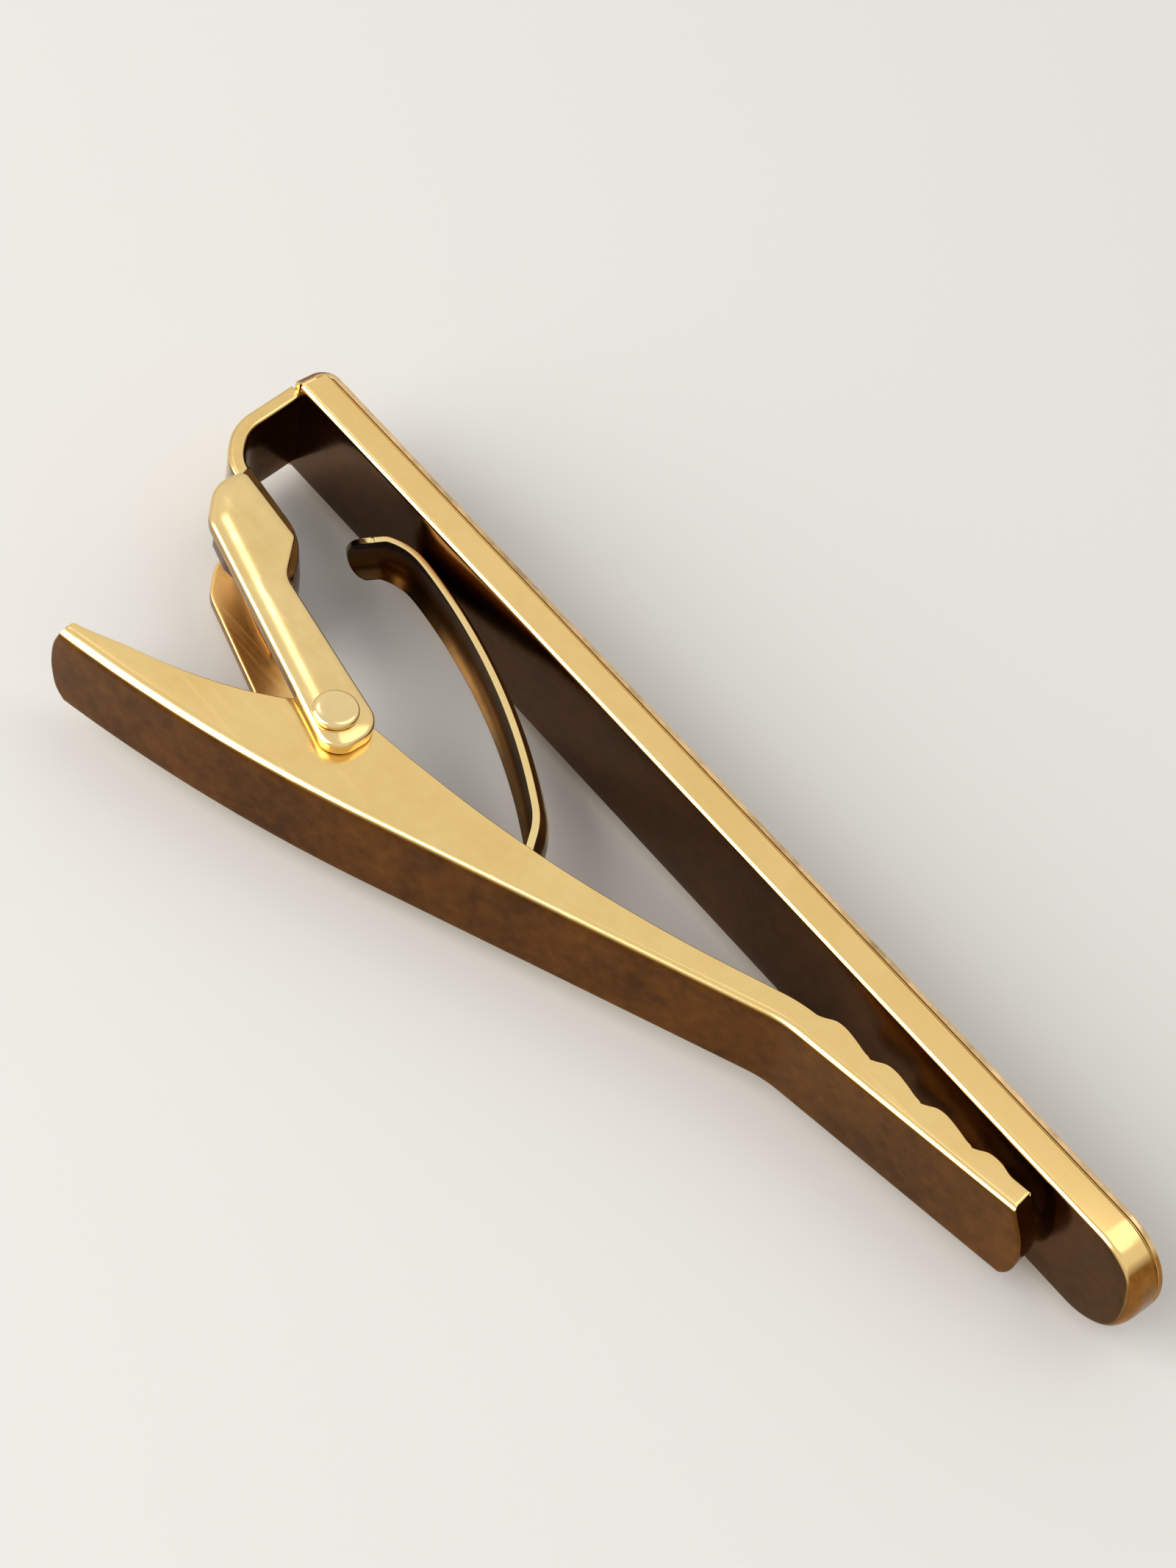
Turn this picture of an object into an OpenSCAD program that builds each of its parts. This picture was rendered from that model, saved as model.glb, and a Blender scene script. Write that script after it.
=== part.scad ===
// Tie clip, millimetres. It lies on its side: +X runs along the bar from the hinge end to the
// round tip, +Z runs across the bar's width, and +Y is the bar's front, away from the jaw.
// Shapes are drawn from the hinge end's back corner of the bar, then moved so that the
// origin is under the middle of the whole clip.

/* [Bar] */
// Length of the bar, hinge end to round tip
bar_len = 58.75; // [50:0.25:66]
// Width of the bar
bar_w = 5.83; // [5.4:0.01:7]
// Thickness of the bar behind its front plate
bar_t = 1.6; // [1.2:0.05:2.2]
// Thickness of the front plate
plate_t = 0.34; // [0.2:0.02:0.6]
// Thickness of the front plate where it turns over the hinge end
lip_t = 0.6; // [0.4:0.05:0.9]
// Radius of the bar's front corner at the hinge end
corner_r = 0.45; // [0.2:0.05:0.8]

/* [End bracket] */
// Thickness of the bracket's strip
strip_t = 0.85; // [0.6:0.05:1]
// Width of the bracket
channel_w = 4.82; // [4.4:0.02:5.2]
// Reach of the strip's end under the bar
strip_seat = 0.16; // [0.1:0.02:0.4]
// Angle between the bar and the strip that leaves it
strip_lean = 82; // [76:1:88]
// Inside radius of the bracket's bend
bend_r = 2.2; // [1.8:0.1:2.6]
// Slope of the web down from the bar
web_slope = 6.5; // [4:0.5:9]
// Length of the straight web after the bend
web_len = 3.7; // [3:0.1:4.4]
// Radius of the web's curled nose
nose_r = 4; // [3.4:0.1:4.6]
// Angle that the nose curls through
nose_turn = 44; // [36:1:50]
// Length of the nose past its curl
nose_len = 0.6; // [0.3:0.05:0.8]

/* [Link plates] */
// Thickness of each link plate
link_t = 0.85; // [0.6:0.05:1]
// Distance of the plate's hinge-end edge past the end of the bracket's bend
link_inset = 0.53; // [0.3:0.01:0.8]
// Depth of the plate's top edge under the bracket's bend
link_seat = 0.9; // [0.7:0.05:1.2]
// How far the far plate's hinge end stands in from the near plate's
far_inset = 0.26; // [0:0.02:0.4]
// How much closer to the bar the far plate's hinge end stands
far_lift = 0.4; // [0:0.02:0.5]
// Distance of the plates' other end from the pivot
eye_r = 1.8; // [1.5:0.05:2]
// Distance of the plate's lowest edge from the pivot
eye_drop = 1.53; // [1.3:0.01:1.8]

/* [Pivot] */
// Distance of the pivot from the bar's hinge end
pivot_x = 16.85; // [16:0.05:18]
// Radius of the rivet's shank
pin_r = 0.6; // [0.4:0.02:0.7]
// Running clearance round the shank
pin_fit = 0.04; // [0.02:0.01:0.08]
// Radius of the rivet's head
head_r = 1.075; // [0.9:0.025:1.3]
// Height of the rivet's head
head_h = 0.35; // [0.25:0.05:0.5]
// Radius of the edge of the head
head_edge = 0.18; // [0.05:0.01:0.22]

/* [Jaw] */
// Thickness of the jaw's sheet
jaw_t = 0.85; // [0.6:0.05:0.95]
// Clearance between the jaw and each link plate
side_fit = 0.05; // [0.03:0.01:0.1]
// Distance from the pivot to the jaw's outer face
belly_depth = 3.69; // [3.3:0.05:4]
// Height of the side walls at the pivot, from the outer face
wall_h = 4.9; // [4.7:0.05:5.2]
// Radius of the jaw's long curve
jaw_r = 80.8; // [70:1:100]
// Slope of the jaw at the pivot
jaw_tilt = 22; // [20:0.5:23]
// Length of the jaw from the pivot to the thumb end
thumb_len = 13.3; // [11:0.1:15]
// Length of the curve on the other side of the pivot
heel_len = 4.23; // [3:0.1:5]
// Length of the straight shank
shank_len = 19.1; // [17:0.1:21]
// Radius of the bend before the teeth
crook_r = 6; // [4:0.5:8]
// Angle of the bend before the teeth
crook_turn = 15.8; // [14:0.2:17]
// Length from that bend to the jaw's tip
bite_len = 13; // [12.6:0.1:13.6]
// Gap between the last tooth and the bar
bite_gap = 0.62; // [0.4:0.01:1]
// Number of teeth on each side wall
tooth_n = 5; // [3:1:5]
// Distance from one tooth to the next
tooth_pitch = 2.9; // [2.2:0.1:3]
// Height of a tooth
tooth_h = 0.42; // [0.2:0.02:0.5]
// Height of the first tooth's crest from the outer face
first_crest = 1.84; // [1.6:0.02:2]
// Height of the last tooth's crest from the outer face
last_crest = 1.42; // [1.2:0.02:1.6]
// How far the tip's foremost point stands past its near corner
tip_skew = 1.1; // [0.6:0.05:1.4]
// How far the thumb end's foremost point stands past its near corner
thumb_bulge = 0.5; // [0.3:0.05:0.8]
// Height of the wall that closes the tip, from the outer face
end_wall_h = 1.25; // [0.9:0.05:1.4]

/* [Leaf spring] */
// Thickness of the spring strip
spring_t = 0.35; // [0.2:0.05:0.45]
// Clearance between the spring and each side wall of the jaw
spring_fit = 0.11; // [0.05:0.01:0.3]
// Height of the camber across the strip
camber = 0.6; // [0.3:0.05:0.7]
// Gap between the spring's knee and the bar's back
knee_gap = 0.05; // [0.02:0.01:0.2]
// Distance of the knee from the bar's hinge end
knee_x = 10.6; // [10.4:0.1:11.4]
// Radius of the knee
knee_r = 8.6; // [7:0.2:10]
// Angle of the knee's curve
knee_turn = 6; // [4:0.5:8]
// Radius of the strip's long curve
leaf_r = 34.6; // [33:0.2:37]
// Angle of the strip's long curve
leaf_turn = 24; // [22:0.5:25]
// Radius of the dip into the jaw
dip_r = 4.9; // [4:0.1:6]
// Angle of the dip into the jaw
dip_turn = 22; // [18:0.5:25]
// Radius of the fold that brings the strip back along the jaw's floor
fold_r = 1.1; // [0.8:0.05:1.2]
// Length of the foot that is soldered to the jaw's floor
foot_len = 6; // [4:0.5:8]
// Radius of the first curve from the knee to the free end
hook_r = 3.6; // [3.2:0.1:4]
// Angle of that curve
hook_turn = 35; // [30:1:40]
// Radius of the second, tighter curve
curl_r = 1.3; // [1.1:0.1:1.6]
// Angle of that curve
curl_turn = 30; // [24:1:36]
// Length of the straight tongue at the free end
tongue_len = 1.5; // [1.2:0.05:1.8]
// How far the tongue's end is rounded back at its corners
tongue_round = 1.1; // [0.5:0.05:1.1]

/* [Hidden] */

// Round pieces are drawn with this many sides
$fn = 64;
// Steps along each bend, across the spring's width and along its tongue
bend_steps = 14;
camber_steps = 8;
tongue_steps = 3;
// Cuts run past the metal by this much
overrun = strip_t;

// Heights across the width, from the lowest point of the rivet
far_low = head_h;
channel_low = far_low + link_t;
channel_high = channel_low + channel_w;
mid_z = (channel_low + channel_high) / 2;
bar_low = mid_z - bar_w / 2;
near_high = channel_high + link_t;
jaw_low = channel_low + side_fit;
jaw_high = channel_high - side_fit;
spring_w = channel_w - 2 * (side_fit + jaw_t + spring_fit);

// A station on a side path is [x, y, heading, length so far]
function line_to(st, len, n = 1) = [for (k = [1 : n])
    [st[0] + len * k / n * cos(st[2]), st[1] + len * k / n * sin(st[2]), st[2], st[3] + len * k / n]];
function arc_to(st, r, turn, n = bend_steps) = let (s = sign(turn)) [for (k = [1 : n])
    let (g = st[2] + turn * k / n)
    [st[0] + s * r * (sin(g) - sin(st[2])), st[1] + s * r * (cos(st[2]) - cos(g)), g,
     st[3] + r * abs(turn) * k / n * PI / 180]];
function last(path) = path[len(path) - 1];
// The point at a height to the left of a station
function beside(st, h) = [st[0] - h * sin(st[2]), st[1] + h * cos(st[2])];
function side_line(path, h) = [for (st = path) beside(st, h)];
function backwards(list) = [for (k = [len(list) - 1 : -1 : 0]) list[k]];
// A smooth curve through chosen points, read at a value of their first coordinate
function slope_at(t, i) = let (a = max(i - 1, 0), b = min(i + 1, len(t) - 1))
    (t[b][1] - t[a][1]) / (t[b][0] - t[a][0]);
function span_of(t, x, i = 0) = i >= len(t) - 2 || x <= t[i + 1][0] ? i : span_of(t, x, i + 1);
function smooth(t, x) = let (i = span_of(t, x), w = t[i + 1][0] - t[i][0], u = (x - t[i][0]) / w)
    t[i][1] * (1 + 2 * u) * pow(1 - u, 2) + t[i + 1][1] * u * u * (3 - 2 * u)
    + w * slope_at(t, i) * u * pow(1 - u, 2) - w * slope_at(t, i + 1) * u * u * (1 - u);

// The jaw's outer face, from the thumb end to the tip, before it is set against the pivot
arc_turn = (thumb_len + heel_len) / jaw_r * 180 / PI;
thumb_tilt = jaw_tilt - thumb_len / jaw_r * 180 / PI;
jaw_start = [0, 0, thumb_tilt, 0];
jaw_arc = arc_to(jaw_start, jaw_r, arc_turn, 2 * bend_steps);
jaw_line = line_to(last(jaw_arc), shank_len, bend_steps);
jaw_crook = arc_to(last(jaw_line), crook_r, -crook_turn);
// The biting stretch has ten stations to each tooth
bite_steps = 60;
jaw_bite = line_to(last(jaw_crook), bite_len, bite_steps);
jaw_raw = concat([jaw_start], jaw_arc, jaw_line, jaw_crook, jaw_bite);
under_pivot = arc_to(jaw_start, jaw_r, jaw_tilt - thumb_tilt, 1)[0];
raw_pivot = beside(under_pivot, belly_depth);

// Height of the side walls, as shares of the length on each side of the pivot and of wall_h
thumb_wall_shares = [[0, 0.17], [0.07, 0.19], [0.24, 0.31], [0.43, 0.415], [0.62, 0.56], [0.77, 0.72],
    [0.9, 0.9], [1, 1]];
shank_wall_shares = [[0, 1], [0.085, 0.92], [0.18, 0.8], [0.35, 0.6], [0.55, 0.43], [0.78, 0.32], [1, 0.285]];
neck_len = heel_len + shank_len;
wall_points = concat([for (p = thumb_wall_shares) [p[0] * thumb_len, p[1] * wall_h]],
    [for (k = [1 : len(shank_wall_shares) - 1])
        [thumb_len + shank_wall_shares[k][0] * neck_len, shank_wall_shares[k][1] * wall_h]]);
// A tooth is steep on the side of the hinge and slopes away to the tip
tooth_shares = [[0, 0], [0.12, 0.4], [0.24, 0.88], [0.36, 1], [0.5, 0.9], [0.72, 0.5], [0.9, 0.1], [1, 0]];
teeth_from = thumb_len + neck_len;
function crest(i) = first_crest + (last_crest - first_crest) * i / (tooth_n - 1);
function tooth_height(s) = let (i = min(floor((s - teeth_from) / tooth_pitch), tooth_n - 1),
        u = min((s - teeth_from) / tooth_pitch - i, 1))
    crest(i) + (smooth(tooth_shares, u) - 1) * tooth_h;
function wall_height(s) = max(jaw_t, s <= teeth_from ? smooth(wall_points, s) : tooth_height(s));

// The pivot hangs where the last tooth clears the bar by the bite gap
rise = max([for (st = jaw_bite) beside(st, wall_height(st[3]))[1]]) - raw_pivot[1];
pivot = [pivot_x, -bite_gap - rise];
function moved(st) = [st[0] + pivot[0] - raw_pivot[0], st[1] + pivot[1] - raw_pivot[1], st[2], st[3]];
jaw_path = [for (st = jaw_raw) moved(st)];
jaw_len = last(jaw_raw)[3];
bite_path = [for (st = concat([last(jaw_crook)], jaw_bite)) moved(st)];
jaw_bottom = min([for (st = jaw_path) st[1]]);

// The bracket's strip, along its face that looks at the bar. Its drop follows the pivot
drop_share = 0.258;
strip_drop = -pivot[1] * drop_share;
strip_a = [strip_seat, 0, -strip_lean, 0];
strip_b = line_to(strip_a, strip_drop);
strip_c = arc_to(last(strip_b), bend_r, strip_lean - web_slope);
strip_d = line_to(last(strip_c), web_len);
strip_e = arc_to(last(strip_d), nose_r, -nose_turn);
strip_f = line_to(last(strip_e), nose_len);
strip_path = concat([strip_a], strip_b, strip_c, strip_d, strip_e, strip_f);
web_path = concat([last(strip_c)], strip_d, strip_e, strip_f);

// The box that holds the link plate's outline, and its corners as shares of that box,
// with the radius of each corner as a share of the box's height
link_left = last(strip_c)[0] + link_inset;
link_top = last(strip_c)[1] - link_seat;
link_right = pivot[0] + eye_r;
link_low = pivot[1] - eye_drop;
link_shares = [[0, 0, 0.06], [0.288, 0.06, 0.08], [0.397, 0.325, 0.25], [0.99, 0.556, 0.2],
    [1, 1.02, 0.16], [0.097, 0.485, 0.3], [-0.012, 0.25, 0.3]];
function link_point(s) = [link_left + s[0] * (link_right - link_left), link_top + s[1] * (link_low - link_top)];
// Round off the corner at b of the corner points a, b and c
function corner_arc(a, b, c, r, n = 8) = let (
        u = (a - b) / norm(a - b), v = (c - b) / norm(c - b),
        half = acos(u * v) / 2, back = r / tan(half),
        p = b + u * back, q = b + v * back, m = b + (u + v) / norm(u + v) * r / sin(half),
        turn = (180 - 2 * half) * sign(cross(b - a, c - b)), start = atan2(p[1] - m[1], p[0] - m[0]))
    [for (k = [0 : n]) m + r * [cos(start + turn * k / n), sin(start + turn * k / n)]];
link_corners = [for (s = link_shares) link_point(s)];
link_outline = [for (i = [0 : len(link_corners) - 1]) each corner_arc(
    link_corners[(i + len(link_corners) - 1) % len(link_corners)], link_corners[i],
    link_corners[(i + 1) % len(link_corners)], link_shares[i][2] * (link_top - link_low))];

// The far plate is the near one with its hinge end moved
function far_point(p) = p + (link_right - p[0]) / (link_right - link_left) * [far_inset, far_lift];
far_outline = [for (p = link_outline) far_point(p)];

// The bracket's side walls: under the web, and inside the link plates' edges below. The far
// one is cut shorter
wall_shares = [[0.397, 0.51], [0.225, 0.548], [0.132, 0.488], [0.065, 0.37], [0.014, 0.21]];
far_wall_shares = [[0.397, 0.47], [0.298, 0.43], [0.169, 0.345], [0.074, 0.28], [0.01, 0.16]];

// The spring's crest line. From the knee it runs down into the jaw, folds back against the
// jaw's floor and lies flat there; the other way it curves down into the free end's tongue
knee_arc = arc_to([knee_x, -knee_gap, 0, 0], knee_r, -knee_turn, 3);
leaf_arc = arc_to(last(knee_arc), leaf_r, -leaf_turn);
dip_arc = arc_to(last(leaf_arc), dip_r, -dip_turn, 5);
shank = moved(last(jaw_line));
function over_shank(p) = (p[1] - shank[1]) * cos(shank[2]) - (p[0] - shank[0]) * sin(shank[2]);
dip_end = last(dip_arc);
fold_turn = dip_end[2] - shank[2] + 180;
fold_test = arc_to(dip_end, fold_r, -fold_turn, 1)[0];
drop_len = (over_shank(fold_test) - jaw_t) / sin(shank[2] - dip_end[2]);
drop_line = line_to(dip_end, drop_len);
fold_arc = arc_to(last(drop_line), fold_r, -fold_turn);
foot_line = line_to(last(fold_arc), foot_len, 3);
hook_arc = arc_to([knee_x, -knee_gap, 180, 0], hook_r, hook_turn, 5);
curl_arc = arc_to(last(hook_arc), curl_r, curl_turn, 5);
tongue_line = line_to(last(curl_arc), tongue_len, tongue_steps);
free_end = [for (st = backwards(concat(hook_arc, curl_arc, tongue_line))) [st[0], st[1], st[2] - 180, 0]];
spring_path = concat(free_end, knee_arc, leaf_arc, dip_arc, drop_line, fold_arc, foot_line);
// The camber runs out along the fold, so the foot lies flat
flat_from = len(free_end) + len(knee_arc) + len(leaf_arc) + len(dip_arc);
flat_to = flat_from + len(fold_arc);
function camber_at(i) = camber * (1 - max(0, min(1, (i - flat_from) / (flat_to - flat_from))));
// How far a point stands back from the tongue's end, at a share of the spring's half width
function set_back(i, u) = tongue_round * (1 - sqrt(max(0, 1 - u * u))) * max(0, 1 - i / tongue_steps);
function spring_ring(i) = let (st = spring_path[i]) [for (side = [0, 1], j = [0 : camber_steps])
    let (u = (side == 0 ? 1 : -1) * sin(180 * j / camber_steps - 90), back = set_back(i, u),
         q = beside(st, -camber_at(i) * u * u - side * spring_t))
    [q[0] + back * cos(st[2]), q[1] + back * sin(st[2]), mid_z + u * spring_w / 2]];

// Move a shape from the bar's corner to the part's own origin
far_left = min(-lip_t, beside(strip_a, -strip_t)[0]);
origin_x = (bar_len + far_left) / 2;
origin_y = (bar_t + plate_t + jaw_bottom) / 2;
module place() { translate([-origin_x, -origin_y, 0]) children(); }
// Raise a side outline between two heights across the width
module slab(low, high) { translate([0, 0, low]) linear_extrude(high - low) children(); }
// Cut a shape to an outline in the plane of X and Z
module through(front, back) { translate([0, front, 0]) rotate([90, 0, 0]) linear_extrude(front - back) children(); }

// The bar seen from the front: square at the hinge end, half round at the tip
module bar_face(from) {
    tip_r = bar_w / 2;
    translate([from, bar_low]) square([bar_len - tip_r - from, bar_w]);
    translate([bar_len - tip_r, mid_z]) circle(tip_r);
}

// The bar's side outline, with its front corner rounded at the hinge end
module bar_side(from, front, r) {
    translate([from + r, 0]) square([bar_len - from - r, front]);
    translate([from, 0]) square([r, front - r]);
    translate([from + r, front - r]) circle(r);
}

module front_bar() {
    color("goldenrod") place() intersection() {
        through(bar_t, 0) bar_face(0);
        slab(bar_low, bar_low + bar_w) bar_side(0, bar_t, corner_r);
    }
}

module front_plate() {
    front = bar_t + plate_t;
    color("gold") place() intersection() {
        through(front, 0) bar_face(-lip_t);
        slab(bar_low, bar_low + bar_w) difference() {
            bar_side(-lip_t, front, corner_r + lip_t);
            bar_side(0, bar_t, corner_r);
        }
    }
}

module end_bracket() {
    color("goldenrod") place() {
        slab(channel_low, channel_high)
            polygon(concat(side_line(strip_path, 0), backwards(side_line(strip_path, -strip_t))));
        slab(channel_high - strip_t, channel_high)
            polygon(concat(side_line(web_path, 0), [for (s = wall_shares) link_point(s)]));
        slab(channel_low, channel_low + strip_t)
            polygon(concat(side_line(web_path, 0), [for (s = far_wall_shares) far_point(link_point(s))]));
    }
}

module link_plate(low, outline) {
    color("gold") place() difference() {
        slab(low, low + link_t) polygon(outline);
        translate([pivot[0], pivot[1], low - overrun]) cylinder(r = pin_r, h = link_t + 2 * overrun);
    }
}

module near_link_plate() { link_plate(channel_high, link_outline); }

module far_link_plate() { link_plate(far_low, far_outline); }

module rivet_head() {
    rotate_extrude() {
        square([head_r - head_edge, head_h]);
        square([head_r, head_h - head_edge]);
        translate([head_r - head_edge, head_h - head_edge]) circle(head_edge);
    }
}

module jaw_rivet() {
    color("goldenrod") place() translate([pivot[0], pivot[1], 0]) {
        translate([0, 0, far_low]) cylinder(r = pin_r, h = near_high - far_low);
        translate([0, 0, near_high]) rivet_head();
        translate([0, 0, far_low]) mirror([0, 0, 1]) rivet_head();
    }
}

// The outline of each end, from the far side at -1 to the near side at 1, and how far it
// stands back there, as a share of the end's skew or bulge
tip_shares = [[-1, 0.55], [-0.97, 0.27], [-0.68, 0.06], [-0.33, 0], [-0.04, 0.07], [0.32, 0.29], [0.52, 0.5],
    [0.73, 0.73], [1, 1]];
thumb_shares = [[-1, 2.4], [-0.97, 1.8], [-0.74, 0.76], [-0.42, 0.26], [-0.05, 0], [0.5, 0.16], [1, 1]];
// All of the jaw on one side of an outline that runs across it at a station
module inside(st, toward, shares, depth, shift = 0) {
    half = (jaw_high - jaw_low) / 2;
    edge = [for (k = [-bend_steps : bend_steps]) let (u = k / bend_steps)
        [toward * (-shift - depth * smooth(shares, u)), mid_z + half * u]];
    translate([st[0], st[1], 0]) rotate([0, 0, st[2]]) through(jaw_len, -jaw_len)
        polygon(concat(edge, [[-toward * jaw_len, jaw_high], [-toward * jaw_len, jaw_low]]));
}

module jaw_lever() {
    wall_edge = [for (st = jaw_path) beside(st, wall_height(st[3]))];
    color("goldenrod") place() difference() {
        intersection() {
            union() {
                slab(jaw_low, jaw_high)
                    polygon(concat(side_line(jaw_path, 0), backwards(side_line(jaw_path, jaw_t))));
                for (low = [jaw_low, jaw_high - jaw_t])
                    slab(low, low + jaw_t) polygon(concat(side_line(jaw_path, 0), backwards(wall_edge)));
                // The tip's end wall
                difference() {
                    slab(jaw_low, jaw_high)
                        polygon(concat(side_line(bite_path, 0), backwards(side_line(bite_path, end_wall_h))));
                    inside(last(jaw_path), 1, tip_shares, tip_skew, jaw_t);
                }
            }
            inside(last(jaw_path), 1, tip_shares, tip_skew);
            inside(jaw_path[0], -1, thumb_shares, thumb_bulge);
        }
        translate([pivot[0], pivot[1], jaw_low - overrun])
            cylinder(r = pin_r + pin_fit, h = jaw_high - jaw_low + 2 * overrun);
    }
}

// Triangles between two rings of n points, the second ring following the first
function band(i, n) = [for (j = [0 : n - 1]) let (k = (j + 1) % n)
    each [[i * n + j, i * n + n + j, i * n + k], [i * n + k, i * n + n + j, i * n + n + k]]];

module leaf_spring() {
    n = 2 * (camber_steps + 1);
    rings = len(spring_path);
    start = [for (j = [0 : camber_steps - 1]) each [[j, j + 1, n - 1 - j], [j + 1, n - 2 - j, n - 1 - j]]];
    end = [for (f = start) [for (v = backwards(f)) v + (rings - 1) * n]];
    color("darkgoldenrod") place() polyhedron(
        [for (i = [0 : rings - 1]) each spring_ring(i)],
        concat(start, [for (i = [0 : rings - 2]) each band(i, n)], end));
}

front_bar();
front_plate();
end_bracket();
near_link_plate();
far_link_plate();
jaw_rivet();
jaw_lever();
leaf_spring();
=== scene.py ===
"""Tie clip: the looks of its eight pieces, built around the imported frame. Metres, row frame."""

import math

import bmesh
import bpy
from mathutils import Matrix, Vector
from mathutils.geometry import delaunay_2d_cdt


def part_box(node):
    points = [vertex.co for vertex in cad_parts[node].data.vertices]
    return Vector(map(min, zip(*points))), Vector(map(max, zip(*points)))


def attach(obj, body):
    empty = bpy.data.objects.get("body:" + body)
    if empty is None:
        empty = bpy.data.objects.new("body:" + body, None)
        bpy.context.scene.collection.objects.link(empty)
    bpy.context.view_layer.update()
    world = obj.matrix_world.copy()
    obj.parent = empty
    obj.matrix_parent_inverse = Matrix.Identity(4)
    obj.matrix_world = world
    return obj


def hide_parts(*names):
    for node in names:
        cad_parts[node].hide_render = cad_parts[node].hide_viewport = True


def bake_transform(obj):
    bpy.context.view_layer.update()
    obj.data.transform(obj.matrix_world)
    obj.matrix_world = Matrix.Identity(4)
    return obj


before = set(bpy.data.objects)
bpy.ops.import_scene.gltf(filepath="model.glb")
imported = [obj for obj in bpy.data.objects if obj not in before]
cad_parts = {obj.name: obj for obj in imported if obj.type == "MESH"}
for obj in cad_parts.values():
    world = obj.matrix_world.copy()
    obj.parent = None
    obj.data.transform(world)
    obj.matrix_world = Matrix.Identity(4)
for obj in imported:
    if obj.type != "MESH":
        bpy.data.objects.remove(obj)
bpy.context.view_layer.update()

# The front bar: one length of solid gold-plated brass bar, flat on its back, its edges
# tumbled round, square at the hinge end and half round at the tip. The pieces' sizes are in
# millimetres from the bar's own corner: x along it, y out of its front, z across its width.
BAR_LOW, BAR_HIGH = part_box("front_bar")
MM = 0.001
BAR_LEN = (BAR_HIGH.x - BAR_LOW.x) / MM
BAR_WIDTH = (BAR_HIGH.z - BAR_LOW.z) / MM
BAR_THICK = (BAR_HIGH.y - BAR_LOW.y) / MM
MIDDLE = BAR_WIDTH / 2
BAR_EDGE, TIP_EDGE, SEAM_EDGE, SEAM_DEPTH = 0.26, 0.75, 0.09, 0.14
# Degrees round the tip where its wide edge starts and ends, each with its run in degrees
TIP_MELTS_IN, TIP_MELTS_OUT = (40, 35), (135, 50)
WELD, TOO_SHORT, TIP_STEPS = 2e-6, 1e-6, 60


def at(x, y, z):
    """A point in millimetres from the bar's corner, as metres in the row frame."""
    return BAR_LOW + Vector((x, y, z)) * MM


def walk(start, turns, run):
    """Where a path is after that length: x, y and heading. Turns are (length, degrees) pairs."""
    x, y, heading = start
    for number, (length, degrees) in enumerate(turns):
        step = run if number == len(turns) - 1 else min(run, length)
        bend = math.radians(degrees) / length
        if abs(bend) > 1e-9:
            x += (math.sin(heading + bend * step) - math.sin(heading)) / bend
            y += (math.cos(heading) - math.cos(heading + bend * step)) / bend
            heading += bend * step
        else:
            x += step * math.cos(heading)
            y += step * math.sin(heading)
        run -= step
        if run <= 1e-9:
            break
    return x, y, heading


def off(station, height):
    """The point at a height to the left of a path's station."""
    x, y, heading = station
    return x - height * math.sin(heading), y + height * math.cos(heading)


def quarter(radius, steps, first=0.0):
    """Points round a quarter circle, as (how far along, how far up), each from 0 to the radius."""
    angles = [math.radians(first + (90 - first) * k / steps) for k in range(steps + 1)]
    return [(radius * math.sin(a), radius * (1 - math.cos(a))) for a in angles]


def even(first, last, count):
    """That many numbers, evenly spaced from first to last."""
    return [first + (last - first) * k / (count - 1) for k in range(count)]


def held(value):
    """The value, held between 0 and 1."""
    return min(1.0, max(0.0, value))


def eased(share):
    """A share from 0 to 1 that starts and ends softly."""
    return share * share * (3 - 2 * share)


def arc(radius, degrees):
    """A turn of a path: its length and how far it turns, to the left where that is positive."""
    return math.radians(abs(degrees)) * radius, degrees


def both_sides(half):
    """A half section with its mirror image before it."""
    return [(-u, d) for u, d in reversed(half[1:])] + half


def piece(name, verts, faces, smooth_angle=38):
    """A closed mesh object from points and faces, welded, with its normals pointing out."""
    data = bpy.data.meshes.new(name)
    data.from_pydata([tuple(v) for v in verts], [], faces)
    work = bmesh.new()
    work.from_mesh(data)
    bmesh.ops.remove_doubles(work, verts=work.verts, dist=WELD)
    bmesh.ops.dissolve_degenerate(work, edges=work.edges, dist=TOO_SHORT)
    bmesh.ops.recalc_face_normals(work, faces=work.faces)
    for face in work.faces:
        face.smooth = True
    for edge in work.edges:
        if len(edge.link_faces) == 2:
            edge.smooth = edge.calc_face_angle(0) < math.radians(smooth_angle)
    work.to_mesh(data)
    work.free()
    made = bpy.data.objects.new(name, data)
    bpy.context.scene.collection.objects.link(made)
    return made


def loft(sections, first_cap=True, last_cap=True):
    """Points and faces of a skin over sections, each a list of outer points and one of inner."""
    verts, faces = [], []
    n = len(sections[0][0])
    for outer, inner in sections:
        verts += outer + inner
    for k in range(len(sections) - 1):
        a, b = k * 2 * n, (k + 1) * 2 * n
        for i in range(n - 1):
            faces.append((a + i, a + i + 1, b + i + 1, b + i))
            faces.append((a + n + i + 1, a + n + i, b + n + i, b + n + i + 1))
        faces.append((a, b, b + n, a + n))
        faces.append((a + n - 1, a + 2 * n - 1, b + 2 * n - 1, b + n - 1))
    for wanted, a in ((first_cap, 0), (last_cap, (len(sections) - 1) * 2 * n)):
        if wanted:
            faces += [(a + i, a + n + i, a + n + i + 1, a + i + 1) for i in range(n - 1)]
    return verts, faces


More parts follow.
